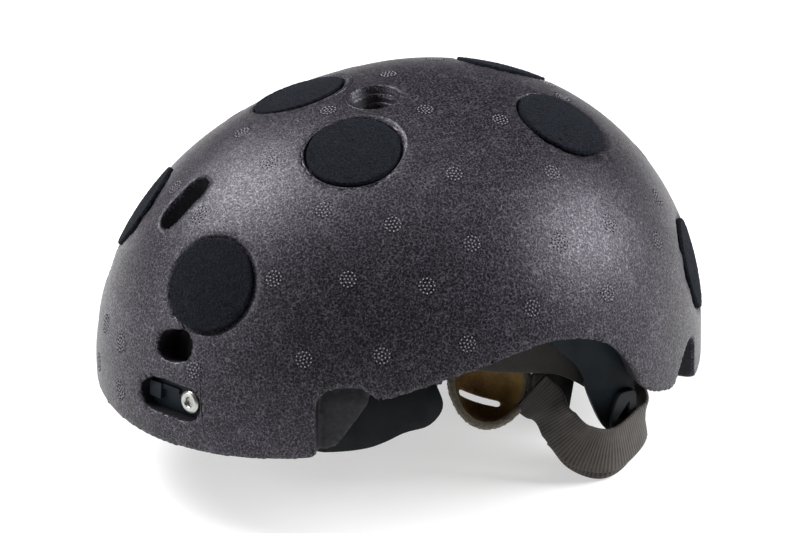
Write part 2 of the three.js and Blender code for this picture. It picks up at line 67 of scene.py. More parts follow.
class Shader:
    """A principled material with short calls for the nodes that drive it."""

    def __init__(self, name, roughness=0.5, **constants):
        self.material = bpy.data.materials.new(name)
        self.material.use_nodes = True
        self.tree = self.material.node_tree
        self.bsdf = self.tree.nodes["Principled BSDF"]
        self.bsdf.inputs["Roughness"].default_value = roughness
        for socket, value in constants.items():
            self.bsdf.inputs[socket.replace("_", " ")].default_value = value
        self.coords = self.node("ShaderNodeTexCoord").outputs["Object"]
        self.uv = self.node("ShaderNodeTexCoord").outputs["UV"]

    def node(self, kind, inputs=None, **settings):
        made = self.tree.nodes.new(kind)
        for key, value in settings.items():
            setattr(made, key, value)
        for key, value in (inputs or {}).items():
            if isinstance(value, bpy.types.NodeSocket):
                self.tree.links.new(value, made.inputs[key])
            else:
                made.inputs[key].default_value = value
        return made

    def noise(self, scale, detail=3, roughness=0.5, vector=None, distortion=0):
        inputs = {"Vector": vector or self.coords, "Scale": scale, "Detail": detail,
                  "Roughness": roughness, "Distortion": distortion}
        return self.node("ShaderNodeTexNoise", inputs).outputs["Fac"]

    def cells(self, scale, feature="F1", output="Distance", randomness=1, vector=None):
        inputs = {"Vector": vector or self.coords, "Scale": scale, "Randomness": randomness}
        return self.node("ShaderNodeTexVoronoi", inputs, feature=feature).outputs[output]

    def math(self, operation, a, b=0.5, clamp=False):
        return self.node("ShaderNodeMath", {0: a, 1: b}, operation=operation, use_clamp=clamp).outputs[0]

    def span(self, value, low, high, to_low=0, to_high=1):
        inputs = {"Value": value, "From Min": low, "From Max": high, "To Min": to_low, "To Max": to_high}
        return self.node("ShaderNodeMapRange", inputs).outputs["Result"]

    def blend(self, factor, a, b, mode="MIX"):
        made = self.node("ShaderNodeMix", {0: factor}, data_type="RGBA", blend_type=mode)
        for index, value in ((6, a), (7, b)):
            if isinstance(value, bpy.types.NodeSocket):
                self.tree.links.new(value, made.inputs[index])
            else:
                made.inputs[index].default_value = (*value, 1)
        return made.outputs[2]

    def set(self, socket, value):
        self.tree.links.new(value, self.bsdf.inputs[socket])

    def bump(self, height, distance, strength=1.0):
        previous = self.bsdf.inputs["Normal"].links
        inputs = {"Height": height, "Distance": distance, "Strength": strength}
        if previous:
            inputs["Normal"] = previous[0].from_socket
        self.set("Normal", self.node("ShaderNodeBump", inputs).outputs["Normal"])


def foam_material():
    s = Shader("bead_foam", 0.5, Specular_IOR_Level=0.40)
    warp = s.node("ShaderNodeVectorMath", {0: s.coords}, operation="ADD")
    wobble = s.node("ShaderNodeTexNoise", {"Vector": s.coords, "Scale": 420, "Detail": 2}).outputs["Color"]
    small = s.node("ShaderNodeVectorMath", {0: wobble, "Scale": 0.0022}, operation="SCALE")
    s.tree.links.new(small.outputs[0], warp.inputs[1])
    beads = warp.outputs[0]
    edge = s.cells(680, "DISTANCE_TO_EDGE", vector=beads)
    net = s.span(edge, 0.02, 0.17, 1, 0)
    fleck = s.span(s.noise(1180, 4, 0.75), 0.44, 0.64)
    patch = s.span(s.noise(340, 4, 0.65), 0.38, 0.66)
    outline = s.span(s.cells(250, "DISTANCE_TO_EDGE", vector=beads), 0.0, 0.055, 1, 0)
    outline = s.math("MULTIPLY", outline, s.span(s.noise(95, 3), 0.5, 0.66))
    tone = s.math("MULTIPLY", fleck, s.span(patch, 0, 1, 0.3, 1))
    colour = s.blend(tone, (0.0024, 0.0022, 0.0030), (0.0245, 0.0215, 0.0290))
    colour = s.blend(s.math("MULTIPLY", s.math("MULTIPLY", net, fleck), 0.8), colour, (0.105, 0.092, 0.118))
    colour = s.blend(s.math("MULTIPLY", outline, 0.42), colour, (0.115, 0.105, 0.125))
    broad = s.span(s.noise(9, 2), 0.4, 0.62)
    s.set("Base Color", s.blend(s.math("MULTIPLY", broad, 0.06), colour, (0.045, 0.050, 0.042)))
    s.set("Roughness", s.span(tone, 0, 1, 0.40, 0.31))
    s.bsdf.inputs["Specular Tint"].default_value = (0.90, 0.87, 1.0, 1)
    shine = s.math("ADD", tone, s.math("MULTIPLY", net, 0.35))
    shine = s.math("ADD", shine, s.math("MULTIPLY", outline, 0.4))
    s.set("Specular IOR Level", s.span(shine, 0, 1.3, 0.17, 0.64))
    s.bump(edge, 0.0002, 0.3)
    s.bump(s.noise(980, 4, 0.7), 0.0004, 0.45)
    return s.material


def inner_foam_material():
    """The smoother, darker skin inside vents, pockets and the head cavity; its darker colour is painted shade
    for those recesses.
    """
    s = Shader("shaded_foam_skin", 0.55, Specular_IOR_Level=0.25)
    tone = s.span(s.noise(500, 4, 0.6), 0.35, 0.65)
    # Painted shade: the dark base colour stands for the shade inside recesses.
    s.set("Base Color", s.blend(tone, (0.0055, 0.0055, 0.0080), (0.0175, 0.0170, 0.0225)))
    s.bump(s.cells(520), 0.0002, 0.25)
    return s.material


def vent_tip_material():
    s = Shader("vent_tips", 0.42)
    s.set("Base Color", s.blend(s.noise(900), (0.08, 0.075, 0.085), (0.26, 0.25, 0.28)))
    return s.material


def hook_material():
    s = Shader("hook_pile", 0.95, Sheen_Weight=0.015, Sheen_Roughness=0.5, Specular_IOR_Level=0.12)
    s.bsdf.inputs["Sheen Tint"].default_value = (0.55, 0.7, 0.85, 1)
    grain = s.noise(1300, 4, 0.75)
    s.set("Base Color", s.blend(s.span(grain, 0.42, 0.66), (0.0004, 0.0005, 0.0009), (0.012, 0.0150, 0.0240)))
    s.bump(grain, 0.0008, 0.8)
    return s.material


def moulded(name, dark, light, roughness):
    s = Shader(name, roughness, Specular_IOR_Level=0.10)
    patches = s.span(s.noise(60, 3), 0.35, 0.65)
    s.set("Base Color", s.blend(patches, dark, light))
    s.set("Roughness", s.span(s.noise(140, 3), 0.3, 0.7, roughness - 0.07, roughness + 0.1))
    s.bump(s.cells(1700), 0.00012, 0.25)
    return s.material


def steel_material():
    s = Shader("satin_steel", 0.3, Metallic=1.0)
    turned = s.node("ShaderNodeMapping", {"Vector": s.coords, "Scale": (1, 1, 9)}).outputs[0]
    lines = s.noise(900, 3, vector=turned)
    s.set("Base Color", s.blend(lines, (0.26, 0.26, 0.25), (0.46, 0.46, 0.44)))
    s.set("Roughness", s.span(lines, 0.3, 0.7, 0.26, 0.4))
    return s.material


def webbing_material(name, shade_until):
    """Ribs run across the tape; UV x is the length and y the width, both in metres.

    The tape is darker before the given length along it, painted shade for its run inside the shell, and at
    its sewn end, painted shade where that end runs up into the helmet."""
    s = Shader(name, 0.8, Sheen_Weight=0.07, Sheen_Roughness=0.45, Specular_IOR_Level=0.3)
    split = s.node("ShaderNodeSeparateXYZ", {"Vector": s.uv})
    along, across = split.outputs[0], split.outputs[1]
    threads = s.math("SINE", s.math("MULTIPLY", across, 2 * math.pi / 0.0011))
    ribs = s.math("COSINE", s.math("MULTIPLY", along, 2 * math.pi / RIB_PITCH))
    weave = s.math("MULTIPLY", s.span(ribs, -1, 1), s.span(threads, -1, 1, 0.75, 1))
    worn = s.span(s.noise(160, 4, 0.6), 0.35, 0.7)
    colour = s.blend(weave, (0.028, 0.024, 0.021), (0.086, 0.076, 0.070))
    colour = s.blend(s.math("MULTIPLY", worn, 0.35), colour, (0.105, 0.094, 0.086))
    # Painted shade: the run inside the shell and the sewn end are darkened as if in shade.
    inner_run_shade = s.math("SUBTRACT", 1.0, s.span(along, shade_until, shade_until + 0.035))
    sewn = s.math("MULTIPLY", s.span(along, 0.182, 0.204), 0.62)
    dark = s.math("MAXIMUM", s.math("MULTIPLY", inner_run_shade, 0.75), sewn)
    # The near-black colour here is the painted shade.
    s.set("Base Color", s.blend(dark, colour, (0.004, 0.004, 0.0035)))
    s.bump(weave, 0.00025, 0.6)
    s.bump(s.noise(2600, 2), 0.0002, 0.4)
    return s.material


def leather_material():
    s = Shader("nubuck", 0.75, Sheen_Weight=0.3, Sheen_Roughness=0.4)
    s.bsdf.inputs["Sheen Tint"].default_value = (0.9, 0.6, 0.3, 1)
    shade = s.span(s.noise(130, 4, 0.6), 0.3, 0.7)
    colour = s.blend(shade, (0.050, 0.024, 0.004), (0.22, 0.115, 0.022))
    colour = s.blend(s.span(s.noise(900, 3), 0.5, 0.75), colour, (0.21, 0.115, 0.030))
    back = s.node("ShaderNodeSeparateXYZ", {"Vector": s.coords}).outputs[1]
    pale = s.blend(shade, (0.20, 0.11, 0.024), (0.46, 0.30, 0.095))
    s.set("Base Color", s.blend(s.span(back, 0.015, 0.028), colour, pale))
    s.bump(s.cells(1300), 0.0002, 0.35)
    s.bump(s.noise(2200, 3), 0.0002, 0.4)
    return s.material


def fleece_material():
    s = Shader("fleece", 0.95, Sheen_Weight=0.35, Sheen_Roughness=0.6)
    curl = s.noise(1400, 4, 0.7, distortion=0.6)
    s.set("Base Color", s.blend(s.span(curl, 0.3, 0.7), (0.026, 0.021, 0.011), (0.165, 0.135, 0.082)))
    s.bump(curl, 0.0009, 0.9)
    return s.material


def knit_material():
    s = Shader("brushed_knit", 0.9, Sheen_Weight=0.25, Sheen_Roughness=0.5)
    stretched = s.node("ShaderNodeMapping", {"Vector": s.coords, "Scale": (1, 1, 0.6)}).outputs[0]
    loops = s.cells(1250, vector=stretched)
    tone = s.math("ADD", s.math("MULTIPLY", loops, 0.7), s.math("MULTIPLY", s.noise(80, 3), 0.4))
    s.set("Base Color", s.blend(tone, (0.006, 0.0065, 0.0075), (0.036, 0.037, 0.041)))
    s.bump(loops, 0.0004, 0.7)
    return s.material


# ---- pieces ------------------------------------------------------------------------------------

BODY_OF = {node: body for body, members in frame["record"]["behaviour"]["bodies"].items() for node in members}


def new_piece(name, vertices, faces, material, body="helmet", smooth=True):
    mesh = bpy.data.meshes.new(name)
    mesh.from_pydata([tuple(v) for v in vertices], [], [tuple(f) for f in faces])
    mesh.materials.append(material)
    mesh.polygons.foreach_set("use_smooth", [smooth] * len(mesh.polygons))
    mesh.update()
    piece = bpy.data.objects.new(name, mesh)
    bpy.context.scene.collection.objects.link(piece)
    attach(piece, body)
    return piece


def baked(piece):
    """Applies the piece's modifiers to its mesh."""
    graph = bpy.context.evaluated_depsgraph_get()
    done = bpy.data.meshes.new_from_object(piece.evaluated_get(graph))
    piece.modifiers.clear()
    old, piece.data = piece.data, done
    bpy.data.meshes.remove(old)
    return piece


def copy_of(node, name, material):
    """A piece with a CAD node's mesh, which then stands for the node."""
    mesh = NODES[node].data.copy()
    mesh.materials.clear()
    mesh.materials.append(material)
    work = bmesh.new()
    work.from_mesh(mesh)
    bmesh.ops.remove_doubles(work, verts=work.verts, dist=0.004 * MM)
    bmesh.ops.dissolve_limit(work, angle_limit=math.radians(0.4), verts=work.verts, edges=work.edges)
    work.to_mesh(mesh)
    work.free()
    piece = bpy.data.objects.new(name, mesh)
    bpy.context.scene.collection.objects.link(piece)
    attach(piece, BODY_OF[node])
    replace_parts(piece, node)
    return piece


def eased(node, name, material, width=0.4, angle=32):
    """A moulded or turned CAD part with its sharp edges rounded."""
    piece = copy_of(node, name, material)
    bevel = piece.modifiers.new("edges", "BEVEL")
    bevel.width, bevel.segments = width * MM, 2
    bevel.limit_method, bevel.angle_limit = "ANGLE", math.radians(angle)
    bevel.harden_normals = True
    piece.data.polygons.foreach_set("use_smooth", [True] * len(piece.data.polygons))
    return baked(piece)


def coordinates(mesh):
    flat = np.empty(len(mesh.vertices) * 3)
    mesh.vertices.foreach_get("co", flat)
    return flat.reshape(-1, 3)


def set_coordinates(mesh, points):
    mesh.vertices.foreach_set("co", np.ascontiguousarray(points, dtype=np.float32).ravel())
    mesh.update()


def relaxed(mesh, points, rounds, weight=0.5):
    edges = np.empty(len(mesh.edges) * 2, dtype=np.int64)
    mesh.edges.foreach_get("vertices", edges)
    a, b = edges.reshape(-1, 2).T
    degree = np.bincount(np.concatenate([a, b]), minlength=len(points))[:, None]
    for _ in range(rounds):
        total = np.zeros_like(points)
        np.add.at(total, a, points[b])
        np.add.at(total, b, points[a])
        points = points + weight * (total / degree - points)
    return points


def combed(mesh, points, rounds=8, angle=30):
    """Evens out sharp edges: a point on one moves towards its neighbours on the same edge."""
    work = bmesh.new()
    work.from_mesh(mesh)
    sharp = [(e.verts[0].index, e.verts[1].index) for e in work.edges
             if e.is_manifold and e.calc_face_angle() > math.radians(angle)]
    work.free()
    a, b = np.array(sharp).T
    degree = np.bincount(np.concatenate([a, b]), minlength=len(points))[:, None]
    for _ in range(rounds):
        total = np.zeros_like(points)
        np.add.at(total, a, points[b])
        np.add.at(total, b, points[a])
        points = np.where(degree > 1, 0.5 * points + 0.5 * total / np.maximum(degree, 1), points)
    return points


def remeshed(piece, voxel):
    modifier = piece.modifiers.new("voxels", "REMESH")
    modifier.mode, modifier.voxel_size = "VOXEL", voxel * MM
    baked(piece)
    piece.data.polygons.foreach_set("use_smooth", [True] * len(piece.data.polygons))
    return piece


# ---- foam dome ---------------------------------------------------------------------------------

FRONT_REACH, REAR_REACH, HALF_WIDTH = 142.5, 114.6, 110.0
APEX_BACK, RISE, WALL_TOP = 14.5, 110.3, 5.0
FRONT_POWER, REAR_POWER, SIDE_POWER = 0.81, 0.89, 0.858
RIM_FOAM, CROWN_GROWTH = 11.0, 1.45


def dome_level(p, inset):
    """Zero on the dome surface that lies this far below the outside, in millimetres; positive outside."""
    front = APEX_BACK - p[:, 1]
    y = front / np.where(front > 0, FRONT_REACH - inset, REAR_REACH - inset)
    x = p[:, 0] / (HALF_WIDTH - inset)
    spread = np.maximum(x * x + y * y, 1e-12)
    cos2 = y * y / spread
    power = np.where(front > 0, FRONT_POWER, REAR_POWER) * cos2 + SIDE_POWER * (1 - cos2)
    lift = np.clip((p[:, 2] - WALL_TOP) / (RISE - inset * CROWN_GROWTH), 0, 2)
    return spread ** (1 / power) + lift ** 2 - 1


def dome_step(p, inset):
    """The move that takes each point to the dome surface, along its gradient."""
    here = dome_level(p, inset)
    step = 0.02
    slope = np.stack([(dome_level(p + step * axis, inset) - here) / step for axis in np.eye(3)], axis=1)
    return -here[:, None] * slope / np.maximum((slope ** 2).sum(axis=1), 1e-9)[:, None]


def snapped(points, inset, near, far):
    """Points close to the dome surface go onto it; the pull fades out with distance."""
    move = dome_step(points, inset)
    distance = np.linalg.norm(move, axis=1)
    pull = np.clip((far - distance) / (far - near), 0, 1)
    pull = (pull * pull * (3 - 2 * pull))[:, None]
    once = points + pull * move
    return once + (pull > 0.999) * dome_step(once, inset)


def dome_point(u, v, inset=0.0):
    u, v = math.radians(u), math.radians(v)
    sin, cos = math.sin(u), math.cos(u)
    reach = (FRONT_REACH if cos > 0 else REAR_REACH) - inset
    power = (FRONT_POWER if cos > 0 else REAR_POWER) * cos * cos + SIDE_POWER * sin * sin
    narrow = math.cos(v) ** power
    return Vector(((HALF_WIDTH - inset) * narrow * sin, APEX_BACK - reach * narrow * cos,
                   WALL_TOP + (RISE - inset * CROWN_GROWTH) * math.sin(v)))


def dome_frame(u, v):
    """Point on the outside, with its outward normal and two directions along the surface."""
    step = 0.2
    across = (dome_point(u + step, v) - dome_point(u - step, v)).normalized()
    up = (dome_point(u, min(v + step, 89.9)) - dome_point(u, v - step)).normalized()
    out = across.cross(up).normalized()
    return dome_point(u, v), out, across, out.cross(across).normalized()


SKIN_DEPTH = 1.5


def make_dome(material, inner):
    dome = copy_of("foam_shell", "foam_dome", material)
    modifier = dome.modifiers.new("grid", "REMESH")
    modifier.mode, modifier.octree_depth, modifier.scale = "SHARP", 8, 0.68
    modifier.use_remove_disconnected = False
    baked(dome)
    points = combed(dome.data, coordinates(dome.data) / MM, 16)
    points = snapped(points, 0.0, 0.6, 0.9)
    points = snapped(points, RIM_FOAM, 0.7, 1.1)
    points = relaxed(dome.data, points, 2, 0.45)
    set_coordinates(dome.data, points * MM)
    dome.data.polygons.foreach_set("use_smooth", [True] * len(dome.data.polygons))
    dome.data.materials.append(inner)
    centres = np.empty(len(dome.data.polygons) * 3)
    dome.data.polygons.foreach_get("center", centres)
    # Faces deeper than SKIN_DEPTH get the recess material, darkened with painted shade.
    deep = dome_level(centres.reshape(-1, 3) / MM, SKIN_DEPTH) < 0
    dome.data.polygons.foreach_set("material_index", deep.astype(np.int32))
    return dome


# Where steam leaves the mould: clusters of tips and pits, the pits drawn as near-black dots of painted shade,
# at angles round and up the dome, on both sides.
STEAM_SITES = [
    (0, 77), (72, 82), (118, 73), (15, 62), (10, 46), (45, 54), (64, 51), (81, 62), (115, 56), (122, 40),
    (104, 41), (82, 45), (40, 38), (56, 39), (72, 37), (92, 29), (112, 27), (79, 24), (64, 23), (50, 22),
    (28, 16), (5, 14), (7, 4), (136, 30), (150, 35), (172, 38), (172, 62), (172, 14)]
# Rings of a cluster, as (radius, how many), with how high each kind of dot stands.
TIP_RINGS, TIP_HEIGHT = ((0, 1), (1.5, 6), (3.0, 12)), 0.16
PIT_RINGS, PIT_HEIGHT = ((0.76, 3), (2.25, 9), (3.7, 12)), 0.10
DOME_BEND = 120


def make_steam_marks(name, material, pattern, height):
    vertices, faces = [], []
    for u, v in STEAM_SITES:
        for side in (1, -1) if u else (1,):
            at, out, across, up = dome_frame(side * u, v)
            turn = 0.01 * (u * 7 + v * 13)
            for radius, count in pattern:
                for k in range(count):
                    angle = 2 * math.pi * (k + turn) / count
                    centre = at + radius * (math.cos(angle) * across + math.sin(angle) * up)
                    centre -= out * radius ** 2 / (2 * DOME_BEND)
                    add_tip(vertices, faces, centre, out, across, up, height)
    return new_piece(name, [v * MM for v in vertices], faces, material)


def add_tip(vertices, faces, centre, out, across, up, height, radius=0.42, sides=6):
    """A small six-sided dot with sloping sides, from just below the surface to its height."""
    base = len(vertices)
    for scale, lift in ((1.0, -0.15), (0.7, height)):
        for k in range(sides):
            angle = 2 * math.pi * k / sides
            sideways = math.cos(angle) * across + math.sin(angle) * up
            vertices.append(centre + scale * radius * sideways + out * lift)
    for k in range(sides):
        n = (k + 1) % sides
        faces.append((base + k, base + n, base + sides + n, base + sides + k))
    faces.append(tuple(base + sides + k for k in range(sides)))
    faces.append(tuple(base + k for k in reversed(range(sides))))


# ---- hook discs --------------------------------------------------------------------------------

DISC_RADIUS, DISC_THICK, DISC_SINK, DISC_BEND = 18.8, 2.4, 1.8, 122.0
DISC_SITES = {"front": (25.3, 34), "crown_front": (42, 69.6),
              "crown_rear": (145.9, 62.9), "rear": (154.8, 15.6)}
DISC_RINGS = 30
RAGGED, PILE = 0.13, 0.07


def make_disc(name, u, v, side, material):
    """A thin domed disc of even triangles, with a rough pile and a slightly ragged edge."""
    node = f"hook_disc_{name}_{'left' if side > 0 else 'right'}"
    at, out, across, up = dome_frame(side * u, v)
    rings = [(DISC_RADIUS * k / DISC_RINGS, 6 * k, 1.0) for k in range(1, DISC_RINGS + 1)]
    rings += [(DISC_RADIUS * 1.008, 6 * DISC_RINGS, 0.5),
              (DISC_RADIUS * 0.995, 6 * DISC_RINGS, 0.0)]
    vertices, starts = [at + out * (DISC_THICK - DISC_SINK)], [0]
    for radius, count, rise in rings:
        starts.append(len(vertices))
        for k in range(count):
            rough = RNG.standard_normal(2)
            r = radius + RAGGED * float(rough[0])
            angle = 2 * math.pi * k / count
            height = DISC_THICK * rise - DISC_SINK - r * r / (2 * DISC_BEND)
            height += rise * PILE * float(rough[1])
            vertices.append(at + r * (math.cos(angle) * across + math.sin(angle) * up) + out * height)
    faces = [(0, 1 + k, 1 + (k + 1) % 6) for k in range(6)]
    for ring in range(1, len(rings)):
        inner, outer = rings[ring - 1][1], rings[ring][1]
        for k in range(outer):
            here, there = starts[ring + 1] + k, starts[ring + 1] + (k + 1) % outer
            low = starts[ring] + (k * inner // outer) % inner
            high = starts[ring] + ((k + 1) * inner // outer) % inner
            faces.append((low, here, there))
            if high != low:
                faces.append((low, there, high))
    faces.append(tuple(starts[-1] + k for k in reversed(range(rings[-1][1]))))
    name = node.replace("hook_disc", "pile_disc")
    piece = new_piece(name, [p * MM for p in vertices], faces, material)
    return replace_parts(piece, node)


def on_dome(points):
    """The points moved onto the outside of the dome."""
    points = np.array([tuple(p) for p in points])
    for _ in range(3):
        points = points + dome_step(points, 0.0)
    return points


def make_ring(name, site, profile, material, around=120, swell=0.0, turned=1):
    """A closed turned ring round a dome site, from a profile of (radius, depth below the dome's outside).

    Its rear side stands swell higher and spreads wider."""
    at, out, across, up = dome_frame(*site)
    turn = [2 * math.pi * k / around for k in range(around)]
    rear = math.pi / 2 - turned * (math.pi / 2 - SWELL_TURN)
    vertices = []
    for radius, depth in profile:
        high = [max(0.0, math.cos(a - rear)) ** 1.5 * swell * (radius > 20) for a in turn]
        ring = [at + (radius + 1.8 * h) * (math.cos(a) * across + math.sin(a) * up)
                for a, h in zip(turn, high)]
        vertices.extend(on_dome(ring) - np.array(out) * (depth - np.array(high) * (depth < 1))[:, None])
    rows = len(profile)
    faces = [(((i + 1) % rows) * around + k, ((i + 1) % rows) * around + (k + 1) % around,
              i * around + (k + 1) % around, i * around + k) for i in range(rows) for k in range(around)]
    return new_piece(name, np.array(vertices) * MM, faces, material)


ROUND_VENT = (0, 84.1)
SWELL_TURN = math.radians(60)
LIP = [(19.95, 1.4), (19.98, 0.6), (20.15, 0.35), (20.45, 0.22), (20.9, 0.2), (21.4, 0.4), (21.0, 1.4)]
STEPPED = [(11.9, 0.3), (11.5, -0.1), (11.15, 0.0), (10.85, 0.4), (10.8, 3.2), (9.9, 3.25), (9.5, 3.5),
           (9.4, 6.6), (8.5, 6.65), (8.1, 6.9), (8.0, 12.5), (11.6, 12.5)]


# ---- webbing -----------------------------------------------------------------------------------

WEB_WIDTH, WEB_THICK, RIB_PITCH = 20.0, 1.8, 0.00125
SIDE_STRAP = [(68, -38, 48), (73.2, -20, 42.5), (75.5, -4, 36.5), (74.5, 14, 30), (71, 33, 23.5),
              (70, 46, 19), (68.5, 60, 9), (67, 69.5, -1), (69, 75.5, -9), (76.5, 77.2, -14),
              (83, 68.5, -18.5), (86.5, 57, -20.5), (83.5, 45, -16.5), (78, 38.5, -8.5), (73.4, 35.2, -1.8)]
CUP_SEWN_END = [(71.4, 31.4, 2.6), (70.6, 28.8, 5.0)]
DIVIDER_END = [(-70.8, 32.6, 0.6), (-66.6, 32.4, 1.8), (-64.9, 36.5, 1.6), (-64.7, 43, 1.2)]
CHIN_SEWN_END = [(52.8, -3.6, 12.9)]
CHIN_STRAP = [(52.2, -8.4, 13.6), (52.5, -26, 15), (46, -50, 19), (26, -68, 21), (0, -74, 21.5),
              (-26, -68, 21), (-46, -50, 19), (-56, -41, 16.6), (-59.5, -30.2, 13)]
UNDER_STRAP = [(79.4, 71.2, -18.5), (83.6, 63, -23.6), (84.6, 55, -25.6), (81.6, 46, -21.6),
               (76.8, 40.2, -13.6)]


def smooth_curve(points, spacing):
    """Points at even spacing along a centripetal Catmull-Rom curve, with its directions."""
    p = [Vector(q) for q in points]
    if len(p) == 2:
        p = [p[0], p[0].lerp(p[1], 0.5), p[1]]
    p = [2 * p[0] - p[1]] + p + [2 * p[-1] - p[-2]]
    dense = []
    for i in range(1, len(p) - 2):
        knots = [0.0]
        for a, b in zip(p[i - 1:i + 2], p[i:i + 3]):
            knots.append(knots[-1] + (b - a).length ** 0.5)
        for k in range(60):
            dense.append(centripetal(p[i - 1:i + 3], knots, knots[1] + (knots[2] - knots[1]) * k / 60))
    dense = np.array(dense + [p[-2]])
    run = np.concatenate([[0], np.cumsum(np.linalg.norm(np.diff(dense, axis=0), axis=1))])
    count = max(2, int(run[-1] / spacing))
    at = np.linspace(0, run[-1], count + 1)
    line = np.stack([np.interp(at, run, dense[:, k]) for k in range(3)], axis=1)
    direction = np.gradient(line, axis=0)
    return line, direction / np.linalg.norm(direction, axis=1)[:, None], at


def centripetal(p, t, x):
    a = [p[k].lerp(p[k + 1], (x - t[k]) / (t[k + 1] - t[k])) for k in range(3)]
    b = [a[k].lerp(a[k + 1], (x - t[k]) / (t[k + 2] - t[k])) for k in range(2)]
    return b[0].lerp(b[1], (x - t[1]) / (t[2] - t[1]))


def tape_section(width, thick, columns=12):
    """Half the outline as (across, out, is a face point); it runs once round the tape."""
    half, deep = width / 2, thick / 2
    round_off = min(0.8, deep)
    face = [(half - round_off) * (1 - 2 * k / columns) for k in range(columns + 1)]
    top = [(a, deep, 1) for a in face]
    near = -half + 0.25 * round_off
    side = [(near, 0.72 * deep, 0), (-half, 0, 0), (near, -0.72 * deep, 0)]
    return top + side + [(-a, -d, f) for a, d, f in top] + [(-a, -d, f) for a, d, f in side]


def ribbon(name, points, material, body="helmet", width=WEB_WIDTH, thick=WEB_THICK,
           rib=0.07, upright=(0, 0, 1), spacing=0.42):
    """A flat tape along a curve, in millimetres, with ribs across its faces and its width near upright."""
    line, along, run = smooth_curve(points, spacing)
    upright = np.array(upright, float)
    across = upright - along * (along @ upright)[:, None]
    across /= np.linalg.norm(across, axis=1)[:, None]
    out = np.cross(along, across)
    section = tape_section(width, thick)
    count = len(section)
    wave = rib * np.cos(2 * np.pi * run * MM / RIB_PITCH)
    rings = []
    for a, d, face in section:
        rise = d + (np.sign(d) * wave if face else 0)
        rings.append(line + across * a + out * np.broadcast_to(rise, run.shape)[:, None])
    vertices = np.stack(rings, axis=1).reshape(-1, 3) * MM
    faces = [(i * count + k, i * count + (k + 1) % count,
              (i + 1) * count + (k + 1) % count, (i + 1) * count + k)
             for i in range(len(line) - 1) for k in range(count)]
    faces = [f[::-1] for f in faces]
    faces += [tuple(range(count)), tuple((len(line) - 1) * count + k for k in reversed(range(count)))]
    piece = new_piece(name, vertices, faces, material, body)
    layer = piece.data.uv_layers.new(name="tape")
    spread = [a for a, _, _ in section]
    for loop in piece.data.loops:
        ring, k = divmod(loop.vertex_index, count)
        layer.data[loop.index].uv = (run[ring] * MM, spread[k] * MM)
    return piece


def mirror_x(points):
    return [(-x, y, z) for x, y, z in points]


def make_mould_seam(hand, label):
    """The faint line that the mould leaves beside the brow pocket."""
    top, low = Vector((51.2, -105, 39.6)), Vector((58.4, -108, 9.8))
    line = [top.lerp(low, k / 5) for k in range(6)]
    line = on_dome([(hand * p.x, p.y, p.z) for p in line])
    ribbon(f"mould_seam_{label}", [tuple(p) for p in line], FOAM, width=0.55, thick=0.36, rib=0,
           upright=(0.9, hand * 0.4, 0))


# ---- build -------------------------------------------------------------------------------------

FOAM, SHADED_SKIN, TIPS, HOOK = foam_material(), inner_foam_material(), vent_tip_material(), hook_material()
BLACK = moulded("black_moulding", (0.0014, 0.0024, 0.0030), (0.0040, 0.0064, 0.0080), 0.42)
NAVY = moulded("navy_moulding", (0.0045, 0.0072, 0.0095), (0.0110, 0.0165, 0.0215), 0.45)
GREY = moulded("grey_moulding", (0.030, 0.034, 0.037), (0.052, 0.057, 0.061), 0.42)
STEEL, LEATHER = steel_material(), leather_material()
# The second webbing material is the same tape without the painted shade on its inner run.
WEBBING, UNSHADED_WEBBING = webbing_material("webbing", 0.10), webbing_material("unshaded_webbing", -1)
FLEECE, KNIT = fleece_material(), knit_material()
PIPING = moulded("woven_piping", (0.004, 0.0045, 0.005), (0.016, 0.0165, 0.018), 0.8)

make_dome(FOAM, SHADED_SKIN)
make_steam_marks("steam_tips", TIPS, TIP_RINGS, TIP_HEIGHT)
# Painted shade: near-black hook-pile dots stand for the shade in the pits.
make_steam_marks("steam_pit_shade", HOOK, PIT_RINGS, PIT_HEIGHT)
for site, (site_u, site_v) in DISC_SITES.items():
    for hand in (1, -1):
        make_disc(site, site_u, site_v, hand, HOOK)
for hand, label in ((1, "left"), (-1, "right")):
    lip_u, lip_v = DISC_SITES["crown_front"]
    make_ring(f"recess_lip_{label}", (hand * lip_u, lip_v), LIP, FOAM, swell=1.1, turned=hand)
make_ring("round_vent_steps", ROUND_VENT, STEPPED, FOAM, 96)

for hand, label in ((1, "left"), (-1, "right")):
    route = SIDE_STRAP + CUP_SEWN_END if hand > 0 else mirror_x(SIDE_STRAP) + DIVIDER_END
    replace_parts(ribbon(f"side_web_{label}", route, WEBBING), f"side_strap_{label}")
    make_mould_seam(hand, label)
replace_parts(ribbon("chin_web", CHIN_SEWN_END + CHIN_STRAP, WEBBING), "chin_strap")
for hand, label in ((1, "left"), (-1, "right")):
    under = UNDER_STRAP if hand > 0 else mirror_x(UNDER_STRAP)
    ribbon(f"under_web_{label}", under, UNSHADED_WEBBING, width=17)

BAND_HALF = [(71.3, 66.5, 24.5), (62, 83.5, 23.5), (44, 96.5, 22), (23, 103, 20.5), (0, 105, 20)]
BAND = BAND_HALF + mirror_x(BAND_HALF[-2::-1])
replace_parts(ribbon("nape_strip", BAND, BLACK, "cradle", 15, 2.6, 0, spacing=2), "nape_band")

PULL = Vector((-0.02, 0.985, -0.17)).normalized()
BUCKLE_AT = Vector((-60, -15, 10.2))
SHORT = [tuple(BUCKLE_AT + PULL * 33), tuple(BUCKLE_AT + PULL * 72)]
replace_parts(ribbon("short_web", SHORT, WEBBING, "buckle_slide"), "short_strap")

